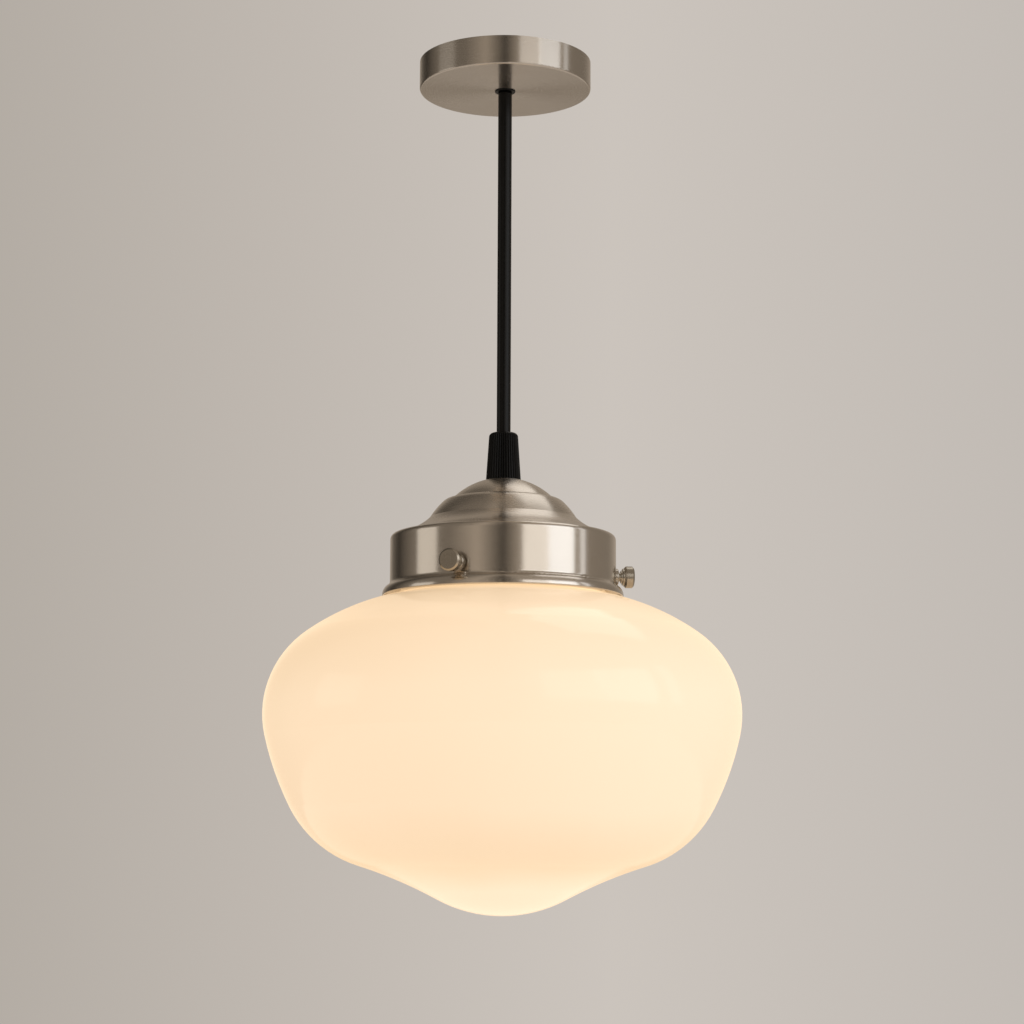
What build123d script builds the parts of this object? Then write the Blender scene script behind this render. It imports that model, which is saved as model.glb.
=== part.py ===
from build123d import *
import math
import os

# A glass pendant light, hung from a ceiling rose on one taut flex.
# Sizes are millimetres. The origin is the centre of the fixing strap's top face,
# which lies on the ceiling, and the lamp hangs down along -Z.

# Ceiling rose
ROSE_RADIUS = 50.0
ROSE_DEPTH = 17.4
ROSE_WALL = 1.2
ROSE_EDGE = 1.1
ROSE_SHADOW_GAP = 0.6
STRAP_WIDTH = 18.0
STRAP_THICK = 2.0
STRAP_TO_ROSE = 0.3
EAR_LENGTH = 11.0
SLOT_SPACING = 70.0
SLOT_WIDTH = 4.5
SLOT_LENGTH = 12.0
SIDE_SCREW_RADIUS = 2.0
SIDE_SCREW_LENGTH = 7.0
SIDE_SCREW_FLUSH = 0.15
STRAP_BEND = 1.2
SCREW_SLOT = 0.6
SCREW_SLOT_DEPTH = 0.8
SCREW_END_GAP = 0.2

# Flex and its cores
FLEX_RADIUS = 4.0
CORE_RADIUS = 1.1
CORE_CIRCLE = 1.5
CORES = {"live": -30.0, "neutral": 90.0, "earth": 210.0}
CORE_BEND = 1.9
FLEX_BEND_LENGTH = 30.0
FLEX_DROP = 203.5
GROMMET_FLANGE = 6.0
GROMMET_FLANGE_THICK = 0.8
GROMMET_EDGE = 0.48
GROMMET_BODY = 5.2
COLLAR_RADIUS = 8.5
COLLAR_HEIGHT = 6.6
SHEATH_PROUD = 0.8
COLLAR_SCREW_PROUD = 0.6
STRIPPED_ABOVE_THREAD = 1.0

# Terminal block under the strap
BLOCK_LENGTH = 14.0
BLOCK_WIDTH = 22.0
BLOCK_HEIGHT = 10.5
BLOCK_X = 20.0
BLOCK_WAIST = 9.8
BLOCK_SCREW_HEAD = 2.4
BLOCK_SCREW_HEAD_HEIGHT = 1.7
BLOCK_SCREW_SUNK = 0.8
SLEEVE_COVER = 1.2
WAY_PITCH = 11.0
WAY_DROP = 5.2
SLEEVE_RADIUS = 2.3
SLEEVE_BORE = 1.3
SLEEVE_LENGTH = 10.0
TERMINAL_SCREW_RADIUS = 1.2
TERMINAL_SCREW_PITCH = 5.0
TERMINAL_SCREW_SUNK = 1.0
TERMINAL_SLOT = 0.5
TERMINAL_SLOT_DEPTH = 0.5
CORE_UNDER_STRAP = 1.3
CORE_TURN = 6.5
CORE_LEAD_IN = 1.2
CORE_SPREAD = 0.65
CORE_PAST_SCREW = 1.0
EARTH_SCREW_X = -18.0
EARTH_SCREW_HEAD = 3.8
EARTH_SCREW_HEAD_HEIGHT = 2.4
RING_RADIUS = 4.4
RING_THICK = 0.8
RING_NECK = 3.0
BARREL_WALL = 0.6
BARREL_DROP = 0.9
BARREL_LENGTH = 4.4
BARREL_FLOOR = 0.8
EARTH_RUN = 4.7

# Cord grip on top of the lamp
GRIP_HEIGHT = 27.65
GRIP_BASE_RADIUS = 10.0
GRIP_TOP_RADIUS = 8.2
GRIP_TOP_EDGE = 2.4
GRIP_RIBS = 40
GRIP_RIB_DEPTH = 0.35
GRIP_THREAD_RADIUS = 7.0
GRIP_THREAD_HEIGHT = 15.5
COLLET_RADIUS = 5.9
COLLET_HEIGHT = 7.5
COLLET_TAPER = 0.8
COLLET_GAP = 0.15
COLLET_SLITS = 4
COLLET_SLIT = 0.8
COLLET_SLIT_DEPTH = 5.25
FLEX_PASS_GAP = 0.3

# Spun fitter: a stepped dome, a straight wall and a flared lip
FITTER_WALL = 1.3
FITTER_RADIUS = 64.25
FITTER_HEIGHT = 67.05
CAP_RADIUS = 40.9
CAP_FLAT = 1.4
CAP_EDGE = 28.9
LEDGE_WIDTH = 2.3
LEDGE_FALL = 12.0
BAND_CORNER = 7.0
BAND_RADIUS = 47.5
BAND_START = 44.0
BAND_END = 58.4
SHOULDER_SLOPE = 8.2
SHOULDER_EDGE = 2.9
LIP_FLARE = 4.3
LIP_SLOPE = 30.0
LIP_COVE = 2.5
FITTER_HOLE_GAP = 0.2

# Thumb screws in the fitter's wall
SCREW_ANGLES = {"left": 247.0, "right": 7.0, "rear": 127.0}
SCREW_ABOVE_LIP = 12.8
SCREW_SHANK = 2.0
SCREW_HEAD = 6.2
SCREW_HEAD_THICK = 5.4
SCREW_STANDS_OUT = 10.9
SCREW_CHAMFER = 0.9
BOSS_RADIUS = 4.7
BOSS_THICK = 2.0
BOSS_SPIGOT = 3.0
BOSS_EDGE = 0.6
SPIGOT_INSIDE = 0.3
SCREW_POINT = 0.6
SCREW_NECK = 2.5
SCREW_NECK_GAP = 0.3
SCREW_RING = 4.8
SCREW_COLLAR = 3.6
SCREW_STEP = 1.0
RUNNING_GAP = 0.05

# Glass shade: tangent arcs from the bottom tip, each a radius and the slope at its end,
# hung by its neck so that the tip lies where they end
GLASS_WALL = 4.0
NUB_RADIUS = 76.7
NUB_SLOPE = 28.1
REVERSE_RADIUS = 252.0
REVERSE_SLOPE = 17.2
CORNER_RADIUS = 65.0
CORNER_SLOPE = 62.6
FLANK_RADIUS = 168.0
FLANK_SLOPE = 77.2
BELLY_RADIUS = 55.6
BELLY_SLOPE = 144.5
SHOULDER_RADIUS = 132.0
BEAD_TO_FITTER = 0.95
BEAD_STEP = 4.5
BEAD_HEIGHT = 6.0
BEAD_EDGE = 1.8
NECK_LENGTH = 15.08
NECK_FILLET = 6.0
GLASS_GAP = 0.3

# Hollow thread and what it clamps inside the fitter
NIPPLE_RADIUS = 5.0
NIPPLE_BORE = 3.5
NIPPLE_LENGTH = 26.0
NIPPLE_ABOVE_SEAT = 7.0
WASHER_RADIUS = 9.0
WASHER_THICK = 1.2
NUT_ACROSS_FLATS = 14.0
NUT_THICK = 3.0
THREAD_GAP = 0.05

# Lampholder
HOLDER_TOP_GAP = 2.0
HOLDER_CAP_RADIUS = 20.5
HOLDER_CAP_HEIGHT = 17.0
HOLDER_SKIRT_LENGTH = 40.0
HOLDER_WALL = 1.6
HOLDER_NOSE = 18.6
INSERT_THICK = 12.0
INSERT_FLANGE = 3.0
HOLDER_OVERLAP = 8.0
HOLDER_BOSS_WALL = 3.0
HOLDER_BOSS_END = 0.8
HOLDER_BOSS_STEP = 0.6
HOLDER_CROWN = 5.0
HOLDER_CROWN_WALL = 3.0
HOLDER_NOSE_LENGTH = 12.0
SKIRT_STEP = 1.5
TERMINAL_SIZE = 5.0
TERMINAL_LENGTH = 6.0
TERMINAL_OUT = 12.0
TERMINAL_SCREW_PROUD = 0.6
TERMINAL_HOLE_PAST = 2.0
CORE_IN_TERMINAL = 1.5
SHELL_RADIUS = 13.6
SHELL_WALL = 0.4
SHELL_LENGTH = 23.0
SHELL_SETBACK = 1.5
SHELL_LIP = 0.8
CONTACT_LENGTH = 14.0
CONTACT_WIDTH = 5.0
CONTACT_THICK = 0.5
CONTACT_BUTTON = 2.2
CONTACT_ROOM = 1.6

# Bulb
BULB_CAP_RADIUS = 13.1
BULB_CAP_LENGTH = 21.0
BULB_CAP_WALL = 0.4
BULB_CAP_FLARE = 1.5
BULB_THREAD_START = 3.15
BULB_THREAD_PITCH = 3.675
BULB_CREST = 0.735
BULB_THREADS = 4
BULB_THREAD_DEPTH = 0.5
BULB_GLOBE_RADIUS = 30.0
BULB_NECK_RADIUS = 12.0
BULB_NECK_CURVE = 45.0
BULB_LENGTH = 108.0
BULB_WALL = 0.8
TIP_RADIUS = 4.8
TIP_THICK = 0.8
TIP_EDGE = 0.5
TIP_HEIGHT = 2.2
TIP_BORDER = 0.6
INSULATOR_RIM = 1.2
BULB_NECK_IN_CAP = 3.0
FILAMENTS = 4
FILAMENT_RADIUS = 0.9
FILAMENT_LENGTH = 30.0
FILAMENT_CIRCLE = 7.0
FILAMENT_PLATE = 0.5
FILAMENT_ABOVE_CENTRE = 22.5
STEM_RADIUS = 2.5
STEM_FLARE = 5.0
STEM_PRESS = 2.0
STEM_SHOULDER = 8.0
STEM_SLIM = 6.0

# How far a cut runs past the face that it opens
CUT = 1.0

# Heights that the pieces share
ROSE_BOTTOM = -ROSE_DEPTH
ROSE_FLOOR = ROSE_BOTTOM + ROSE_WALL
STRAP_UNDER = -STRAP_THICK
COLLAR_TOP = ROSE_FLOOR + COLLAR_HEIGHT
SHEATH_TOP = COLLAR_TOP + SHEATH_PROUD
BEND_TOP = ROSE_BOTTOM - GROMMET_FLANGE_THICK
BEND_BOTTOM = BEND_TOP - FLEX_BEND_LENGTH
GRIP_TOP = ROSE_BOTTOM - FLEX_DROP
SEAT = GRIP_TOP - GRIP_HEIGHT
FITTER_LIP = SEAT - FITTER_HEIGHT
SCREW_Z = FITTER_LIP + SCREW_ABOVE_LIP
NIPPLE_TOP = SEAT + NIPPLE_ABOVE_SEAT
SHEATH_END = NIPPLE_TOP + STRIPPED_ABOVE_THREAD
NIPPLE_END = NIPPLE_TOP - NIPPLE_LENGTH
SEAT_UNDER = SEAT - FITTER_WALL
WASHER_UNDER = SEAT_UNDER - WASHER_THICK
NUT_UNDER = WASHER_UNDER - NUT_THICK
HOLDER_TOP = NUT_UNDER - HOLDER_TOP_GAP
CAP_BOTTOM = HOLDER_TOP - HOLDER_CAP_HEIGHT
INSERT_TOP = CAP_BOTTOM - THREAD_GAP
INSERT_UNDER = INSERT_TOP - INSERT_THICK
SKIRT_TOP = CAP_BOTTOM + HOLDER_OVERLAP
SKIRT_BOTTOM = SKIRT_TOP - HOLDER_SKIRT_LENGTH
SHELL_TOP = INSERT_TOP - INSERT_FLANGE - SHELL_SETBACK
BULB_TIP = INSERT_UNDER - CONTACT_ROOM
BULB_CAP_TOP = BULB_TIP - TIP_HEIGHT
BULB_CAP_BOTTOM = BULB_CAP_TOP - BULB_CAP_LENGTH
BULB_BOTTOM = BULB_TIP - BULB_LENGTH
FILAMENT_TOP = BULB_BOTTOM + BULB_GLOBE_RADIUS + FILAMENT_ABOVE_CENTRE
BULB_NECK_TOP = BULB_CAP_BOTTOM + BULB_NECK_IN_CAP
EAR_X = math.sqrt((ROSE_RADIUS - ROSE_WALL) ** 2 - (STRAP_WIDTH / 2) ** 2) - STRAP_TO_ROSE
SIDE_SCREW_Z = ROSE_BOTTOM / 2
WAY_Z = STRAP_UNDER - WAY_DROP
BLOCK_UNDER = STRAP_UNDER - BLOCK_HEIGHT
BLOCK_SCREW_SEAT = BLOCK_UNDER + BLOCK_SCREW_SUNK + BLOCK_SCREW_HEAD_HEIGHT
BARREL_X = EARTH_SCREW_X + RING_RADIUS + RING_NECK - 2 * BARREL_FLOOR
BARREL_Z = STRAP_UNDER - CORE_RADIUS - BARREL_DROP
SCREW_FACE = FITTER_RADIUS + SCREW_STANDS_OUT
FITTER_INNER = FITTER_RADIUS - FITTER_WALL
LIP_RADIUS = FITTER_RADIUS + LIP_FLARE
BEAD_RADIUS = FITTER_INNER - BEAD_TO_FITTER
NECK_RADIUS = BEAD_RADIUS - BEAD_STEP
SCREW_TIP = NECK_RADIUS + GLASS_GAP
BEAD_UNDER = SCREW_Z + SCREW_SHANK + GLASS_GAP
BEAD_TOP = BEAD_UNDER + BEAD_HEIGHT
NECK_FOOT = BEAD_TOP - NECK_LENGTH

UPRIGHT = 90.0

os.makedirs("parts", exist_ok=True)


def save(name, shape):
    """Write one node to its own file."""
    shape.label = name
    export_step(shape, f"parts/{name}.step")
    return shape


def rod(radius, top, bottom, x=0.0, y=0.0):
    """An upright cylinder between two heights."""
    return Pos(x, y, (top + bottom) / 2) * Cylinder(radius, top - bottom)


def tube(outer, inner, top, bottom, x=0.0, y=0.0):
    """An upright hollow cylinder between two heights."""
    return rod(outer, top, bottom, x, y) - rod(inner, top + CUT, bottom - CUT, x, y)


def across(radius, start, end, y=0.0, z=0.0):
    """A cylinder lying along X between two places."""
    return Pos((start + end) / 2, y, z) * Rot(0, 90, 0) * Cylinder(radius, abs(end - start))


def group(solids):
    """Several separate solids that share one node."""
    return Compound(children=list(solids))


def spin(edges):
    """Turn a closed outline of X and Z about the Z axis."""
    return revolve(make_face(edges), Axis.Z)


def spin_points(points):
    """Turn a closed outline of straight sides, given as radius and height."""
    corners = [(r, 0, z) for r, z in points]
    return spin(Polyline(*corners, close=True))


def point(place):
    return (place[0], 0, place[1])


def run_of_bends(start, slope, bends, inset=0.0):
    """Tangent stretches one after another: their edges and the last end.

    Each is a radius and the slope at its end, in degrees, or a straight length and None.
    An inset moves the whole run to its left, as the other face of a wall."""
    edges = []
    a = math.radians(slope)
    place = (start[0] - inset * math.sin(a), start[1] + inset * math.cos(a))
    for size, end_slope in bends:
        a = math.radians(slope)
        if end_slope is None:
            end = (place[0] + size * math.cos(a), place[1] + size * math.sin(a))
            edges.append(Line(point(place), point(end)))
            place = end
            continue
        side = 1 if end_slope > slope else -1
        radius = size - side * inset
        middle = (place[0] - side * radius * math.sin(a), place[1] + side * radius * math.cos(a))

        def at(angle):
            b = math.radians(angle)
            return (middle[0] + side * radius * math.sin(b), middle[1] - side * radius * math.cos(b))

        end = at(end_slope)
        if radius > 0.01:
            edges.append(ThreePointArc(point(place), point(at((slope + end_slope) / 2)), point(end)))
        place = end
        slope = end_slope
    return edges, place


def radial(angle, shape):
    """A shape drawn along +X, turned to stand at an angle about the Z axis."""
    return Rot(0, 0, angle) * shape


def joined(places):
    """Straight edges through places, given as radius and height."""
    return [Line(point(a), point(b)) for a, b in zip(places[:-1], places[1:])]


# Ceiling: strap, rose cup and what hangs on them

def fixing_strap():
    """A flat steel bar with two slots and two ears turned down for the side screws."""
    bar = Pos(0, 0, STRAP_UNDER / 2) * Box(2 * EAR_X, STRAP_WIDTH, STRAP_THICK)
    body = bar
    for side in (-1, 1):
        middle = side * (EAR_X - STRAP_THICK / 2)
        ear = Pos(middle, 0, -(STRAP_THICK + EAR_LENGTH) / 2) * Box(
            STRAP_THICK, STRAP_WIDTH, STRAP_THICK + EAR_LENGTH)
        body += ear
        slot = Pos(side * SLOT_SPACING / 2, 0, STRAP_UNDER / 2) * extrude(
            SlotOverall(SLOT_LENGTH, SLOT_WIDTH), STRAP_THICK * 2, both=True)
        body -= slot
        body -= across(SIDE_SCREW_RADIUS + THREAD_GAP, middle - STRAP_THICK, middle + STRAP_THICK,
                       z=SIDE_SCREW_Z)
    bends = body.edges().filter_by(Axis.Y).group_by(Axis.Z)[-1]
    body = fillet(bends, STRAP_BEND)
    body -= rod(SIDE_SCREW_RADIUS + THREAD_GAP, CUT, STRAP_UNDER - CUT, EARTH_SCREW_X)
    body -= rod(TERMINAL_SCREW_RADIUS + THREAD_GAP, CUT, STRAP_UNDER - CUT, BLOCK_X)
    return body


def rose_cup():
    """The spun metal cup, with a hole for the grommet and two for the side screws."""
    r = ROSE_RADIUS
    top = -ROSE_SHADOW_GAP
    hole = GROMMET_BODY + THREAD_GAP
    outer, outer_end = run_of_bends((r - ROSE_EDGE, ROSE_BOTTOM), 0, [(ROSE_EDGE, UPRIGHT)])
    inner_start = (r - ROSE_WALL, ROSE_FLOOR)
    edges = joined([(hole, ROSE_BOTTOM), (r - ROSE_EDGE, ROSE_BOTTOM)]) + outer + joined(
        [outer_end, (r, top), (r - ROSE_WALL, top), inner_start, (hole, ROSE_FLOOR), (hole, ROSE_BOTTOM)])
    cup = spin(edges)
    for side in (-1, 1):
        cup -= across(SIDE_SCREW_RADIUS + THREAD_GAP, side * (r - ROSE_WALL - CUT), side * (r + CUT),
                      z=SIDE_SCREW_Z)
    return cup


def rose_side_screws():
    """Two slotted screws, flush with the cup, that hold it to the strap's ears."""
    screws = []
    for side in (-1, 1):
        face = ROSE_RADIUS - SIDE_SCREW_FLUSH
        screw = across(SIDE_SCREW_RADIUS, side * (face - SIDE_SCREW_LENGTH), side * face, z=SIDE_SCREW_Z)
        slot = Pos(side * face, 0, SIDE_SCREW_Z) * Box(
            2 * SCREW_SLOT_DEPTH, 2 * SIDE_SCREW_RADIUS + CUT, SCREW_SLOT)
        screws.append(screw - slot)
    return group(screws)


def cord_grommet():
    """A black flanged ring that lines the hole where the flex leaves the rose."""
    body = tube(GROMMET_BODY, FLEX_RADIUS + THREAD_GAP, ROSE_FLOOR, ROSE_BOTTOM)
    flange = tube(GROMMET_FLANGE, FLEX_RADIUS + THREAD_GAP, ROSE_BOTTOM, BEND_TOP)
    rim = flange.edges().filter_by(GeomType.CIRCLE).group_by(Axis.Z)[0].sort_by(SortBy.RADIUS)[-1]
    return body + fillet(rim, GROMMET_EDGE)


def cord_collar():
    """A collar clamped on the flex inside the rose, where it stands on the cup's floor."""
    body = tube(COLLAR_RADIUS, FLEX_RADIUS + THREAD_GAP, COLLAR_TOP, ROSE_FLOOR)
    middle = (COLLAR_TOP + ROSE_FLOOR) / 2
    return body - across(SIDE_SCREW_RADIUS + THREAD_GAP, -COLLAR_RADIUS - CUT, 0, z=middle)


def collar_screw():
    """The slotted screw that clamps the collar on the flex."""
    middle = (COLLAR_TOP + ROSE_FLOOR) / 2
    head = -COLLAR_RADIUS - COLLAR_SCREW_PROUD
    screw = across(SIDE_SCREW_RADIUS, head, -FLEX_RADIUS - 2 * THREAD_GAP, z=middle)
    return screw - Pos(head, 0, middle) * Box(2 * SCREW_SLOT_DEPTH, SCREW_SLOT, 2 * SIDE_SCREW_RADIUS + CUT)


def way_places():
    """The Y of each way of the terminal block."""
    return [-WAY_PITCH / 2, WAY_PITCH / 2]


def terminal_screw_places():
    return [(BLOCK_X + side * TERMINAL_SCREW_PITCH / 2, y)
            for y in way_places() for side in (-1, 1)]


def terminal_block():
    """A two-way moulded block under the strap, with a tunnel for each way."""
    middle = (STRAP_UNDER + BLOCK_UNDER) / 2
    body = Pos(BLOCK_X, 0, middle) * Box(BLOCK_WAIST, BLOCK_WIDTH, BLOCK_HEIGHT)
    for y in way_places():
        body += Pos(BLOCK_X, y, middle) * Box(BLOCK_LENGTH, 2 * (SLEEVE_RADIUS + SLEEVE_COVER), BLOCK_HEIGHT)
    for y in way_places():
        half = BLOCK_LENGTH / 2 + CUT
        body -= across(SLEEVE_RADIUS + THREAD_GAP, BLOCK_X - half, BLOCK_X + half, y, WAY_Z)
    for x, y in terminal_screw_places():
        body -= rod(TERMINAL_SCREW_RADIUS + THREAD_GAP, WAY_Z, BLOCK_UNDER - CUT, x, y)
    body -= rod(TERMINAL_SCREW_RADIUS + THREAD_GAP, CUT, BLOCK_UNDER - CUT, BLOCK_X)
    return body - rod(BLOCK_SCREW_HEAD + THREAD_GAP, BLOCK_SCREW_SEAT, BLOCK_UNDER - CUT, BLOCK_X)


def terminal_sleeves():
    """Brass sleeves in the block's two ways."""
    sleeves = []
    for y in way_places():
        half = SLEEVE_LENGTH / 2
        sleeve = across(SLEEVE_RADIUS, BLOCK_X - half, BLOCK_X + half, y, WAY_Z)
        sleeve -= across(SLEEVE_BORE, BLOCK_X - half - CUT, BLOCK_X + half + CUT, y, WAY_Z)
        for x, place in terminal_screw_places():
            if place == y:
                sleeve -= rod(TERMINAL_SCREW_RADIUS + THREAD_GAP, WAY_Z, WAY_Z - SLEEVE_RADIUS - CUT, x, y)
        sleeves.append(sleeve)
    return group(sleeves)


def terminal_screws():
    """Four clamping screws, driven from below."""
    low = BLOCK_UNDER + TERMINAL_SCREW_SUNK
    top = WAY_Z - CORE_RADIUS - THREAD_GAP
    slot = Box(4 * TERMINAL_SCREW_RADIUS, TERMINAL_SLOT, 2 * TERMINAL_SLOT_DEPTH)
    return group(rod(TERMINAL_SCREW_RADIUS, top, low, x, y) - Pos(x, y, low) * slot
                 for x, y in terminal_screw_places())


def block_screw():
    """The screw that holds the terminal block up to the strap."""
    shank = rod(TERMINAL_SCREW_RADIUS, -SCREW_END_GAP, BLOCK_SCREW_SEAT, BLOCK_X)
    face = BLOCK_SCREW_SEAT - BLOCK_SCREW_HEAD_HEIGHT
    head = rod(BLOCK_SCREW_HEAD, BLOCK_SCREW_SEAT, face, BLOCK_X)
    return shank + head - Pos(BLOCK_X, 0, face) * Box(3 * BLOCK_SCREW_HEAD, SCREW_SLOT, 2 * SCREW_SLOT_DEPTH)


def earth_ring():
    """A ring terminal under the earth screw, with a barrel towards the flex."""
    under = STRAP_UNDER - RING_THICK
    ring = tube(RING_RADIUS, SIDE_SCREW_RADIUS + THREAD_GAP, STRAP_UNDER, under, EARTH_SCREW_X)
    neck_start = EARTH_SCREW_X + (SIDE_SCREW_RADIUS + RING_RADIUS) / 2
    neck = Pos((neck_start + BARREL_X + BARREL_FLOOR) / 2, 0, (STRAP_UNDER + under) / 2) * Box(
        BARREL_X + BARREL_FLOOR - neck_start, RING_NECK, RING_THICK)
    barrel = across(CORE_RADIUS + BARREL_WALL, BARREL_X, BARREL_X + BARREL_LENGTH, z=BARREL_Z)
    bore = across(CORE_RADIUS + THREAD_GAP, BARREL_X + BARREL_FLOOR, BARREL_X + BARREL_LENGTH + CUT, z=BARREL_Z)
    return ring + neck + barrel - bore


def earth_screw():
    """The screw that clamps the ring terminal up to the strap."""
    top = STRAP_UNDER - RING_THICK
    face = top - EARTH_SCREW_HEAD_HEIGHT
    head = rod(EARTH_SCREW_HEAD, top, face, EARTH_SCREW_X)
    shank = rod(SIDE_SCREW_RADIUS, -SCREW_END_GAP, top, EARTH_SCREW_X)
    return head + shank - Pos(EARTH_SCREW_X, 0, face) * Box(
        3 * EARTH_SCREW_HEAD, SCREW_SLOT, 2 * SCREW_SLOT_DEPTH)


def core(points, radius):
    """One insulated core, straight runs joined by arcs."""
    path = FilletPolyline(*points, radius=radius)
    return sweep((path ^ 0) * Circle(CORE_RADIUS), path)


def core_place(name):
    """Where one of the three cores stands in the flex."""
    a = math.radians(CORES[name])
    return CORE_CIRCLE * math.cos(a), CORE_CIRCLE * math.sin(a)


def flex_top():
    """The sheathed flex inside the rose, from the cores' end to the grommet's mouth."""
    return rod(FLEX_RADIUS, SHEATH_TOP, BEND_TOP)


def flex_bend():
    """The short stretch below the rose that bends when the lamp swings."""
    return rod(FLEX_RADIUS, BEND_TOP, BEND_BOTTOM)


def flex():
    """The straight run of flex that carries the lamp."""
    return rod(FLEX_RADIUS, BEND_BOTTOM, SHEATH_END)


def core_at_rose(name):
    """One core inside the rose, from the sheath's end to the metal that clamps it."""
    x, y = core_place(name)
    if name == "earth":
        end = BARREL_X + BARREL_FLOOR + SCREW_END_GAP
        return core([(x, y, SHEATH_TOP), (x, y, BARREL_Z), (end + EARTH_RUN, 0, BARREL_Z), (end, 0, BARREL_Z)],
                    CORE_BEND)
    way = way_places()[0] if name == "live" else way_places()[1]
    high = STRAP_UNDER - CORE_RADIUS - CORE_UNDER_STRAP
    first = BLOCK_X - BLOCK_LENGTH / 2
    end = BLOCK_X + TERMINAL_SCREW_PITCH / 2 + CORE_PAST_SCREW
    return core([(x, y, SHEATH_TOP), (x, y, high), (first - CORE_TURN, way * CORE_SPREAD, high),
                 (first - CORE_LEAD_IN, way, WAY_Z), (end, way, WAY_Z)], CORE_BEND)


# Cord grip and hollow thread

def grip_cap():
    """The black ribbed nut that squeezes the collet onto the flex."""
    thread = GRIP_THREAD_RADIUS + THREAD_GAP
    bore = FLEX_RADIUS + FLEX_PASS_GAP
    shelf = SEAT + GRIP_THREAD_HEIGHT + THREAD_GAP
    throat = shelf + COLLET_HEIGHT
    body = spin_points([(thread, SEAT), (GRIP_BASE_RADIUS, SEAT), (GRIP_TOP_RADIUS, GRIP_TOP),
                        (bore, GRIP_TOP), (bore, throat),
                        (COLLET_RADIUS - COLLET_TAPER + COLLET_GAP, throat),
                        (COLLET_RADIUS + COLLET_GAP, shelf), (thread, shelf)])
    rim = body.edges().filter_by(GeomType.CIRCLE).group_by(Axis.Z)[-1].sort_by(SortBy.RADIUS)[-1]
    body = fillet(rim, GRIP_TOP_EDGE)
    lean = math.degrees(math.atan((GRIP_BASE_RADIUS - GRIP_TOP_RADIUS) / GRIP_HEIGHT))
    middle = (GRIP_BASE_RADIUS + GRIP_TOP_RADIUS) / 2
    groove = Pos(middle, 0, (SEAT + GRIP_TOP) / 2) * Rot(0, -lean, 0) * Rot(0, 0, 45) * Box(
        GRIP_RIB_DEPTH * 2, GRIP_RIB_DEPTH * 2, GRIP_HEIGHT * 1.4)
    return body - [Rot(0, 0, i * 360 / GRIP_RIBS) * groove for i in range(GRIP_RIBS)]


def grip_collet():
    """The split sleeve that the nut closes round the flex."""
    low = SEAT + GRIP_THREAD_HEIGHT
    inner = FLEX_RADIUS + THREAD_GAP
    body = spin_points([(inner, low), (COLLET_RADIUS, low),
                        (COLLET_RADIUS - COLLET_TAPER, low + COLLET_HEIGHT), (inner, low + COLLET_HEIGHT)])
    slit = Pos(0, 0, low + COLLET_HEIGHT) * Box(4 * COLLET_RADIUS, COLLET_SLIT, 2 * COLLET_SLIT_DEPTH)
    return body - [Rot(0, 0, i * 360 / COLLET_SLITS) * slit for i in range(COLLET_SLITS // 2)]


def grip_base():
    """The threaded body of the grip: the nut turns on it, and it turns on the hollow thread."""
    top = SEAT + GRIP_THREAD_HEIGHT
    socket = NIPPLE_TOP + FLEX_PASS_GAP
    bore = FLEX_RADIUS + FLEX_PASS_GAP
    return spin_points([(NIPPLE_RADIUS + THREAD_GAP, SEAT), (GRIP_THREAD_RADIUS, SEAT),
                        (GRIP_THREAD_RADIUS, top), (bore, top), (bore, socket),
                        (NIPPLE_RADIUS + THREAD_GAP, socket)])


def nipple():
    """The hollow thread that carries the fitter and the lampholder under the grip."""
    return tube(NIPPLE_RADIUS, NIPPLE_BORE, NIPPLE_TOP, NIPPLE_END)


def spring_washer():
    """The washer between the fitter and the nut under it."""
    return tube(WASHER_RADIUS, NIPPLE_RADIUS + THREAD_GAP, SEAT_UNDER, WASHER_UNDER)


def lock_nut():
    """The thin hexagon nut that clamps the fitter up against the grip."""
    hexagon = RegularPolygon(NUT_ACROSS_FLATS / 2, 6, major_radius=False)
    nut = Pos(0, 0, NUT_UNDER) * extrude(hexagon, NUT_THICK)
    return nut - rod(NIPPLE_RADIUS + THREAD_GAP, WASHER_UNDER + CUT, NUT_UNDER - CUT)


# Spun fitter and its thumb screws

def fitter_bends():
    """The fitter's outer face from the seat's edge to the lip, and where it starts."""
    flat = math.sqrt(CAP_RADIUS ** 2 - (CAP_RADIUS - CAP_FLAT) ** 2)
    first = -math.degrees(math.asin(flat / CAP_RADIUS))
    cap_end = -math.degrees(math.asin(CAP_EDGE / CAP_RADIUS))
    dome = [(CAP_RADIUS, cap_end), (0.0, -LEDGE_FALL), (LEDGE_WIDTH, None),
            (BAND_CORNER, -BAND_START), (BAND_RADIUS, -BAND_END), (0.0, -BAND_START)]
    foot = run_of_bends((flat, SEAT), first, dome)[1]
    slope = math.sin(math.radians(SHOULDER_SLOPE))
    reach = FITTER_RADIUS - SHOULDER_EDGE * (1 - slope) - foot[0]
    flare = reach / (math.sin(math.radians(BAND_START)) - slope)
    bends = dome + [(flare, -SHOULDER_SLOPE), (SHOULDER_EDGE, -UPRIGHT)]
    wall_top = run_of_bends((flat, SEAT), first, bends)[1][1]
    lean = math.radians(LIP_SLOPE)
    lip_roll = (LIP_RADIUS - FITTER_RADIUS - LIP_COVE * (1 - math.sin(lean))) / (1 - math.sin(lean))
    lip_height = (LIP_COVE + lip_roll) * math.cos(lean) + FITTER_WALL / 2
    wall = wall_top - FITTER_LIP - lip_height
    bends += [(wall, None), (LIP_COVE, -LIP_SLOPE), (lip_roll, -UPRIGHT)]
    return (flat, SEAT), first, bends


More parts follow.
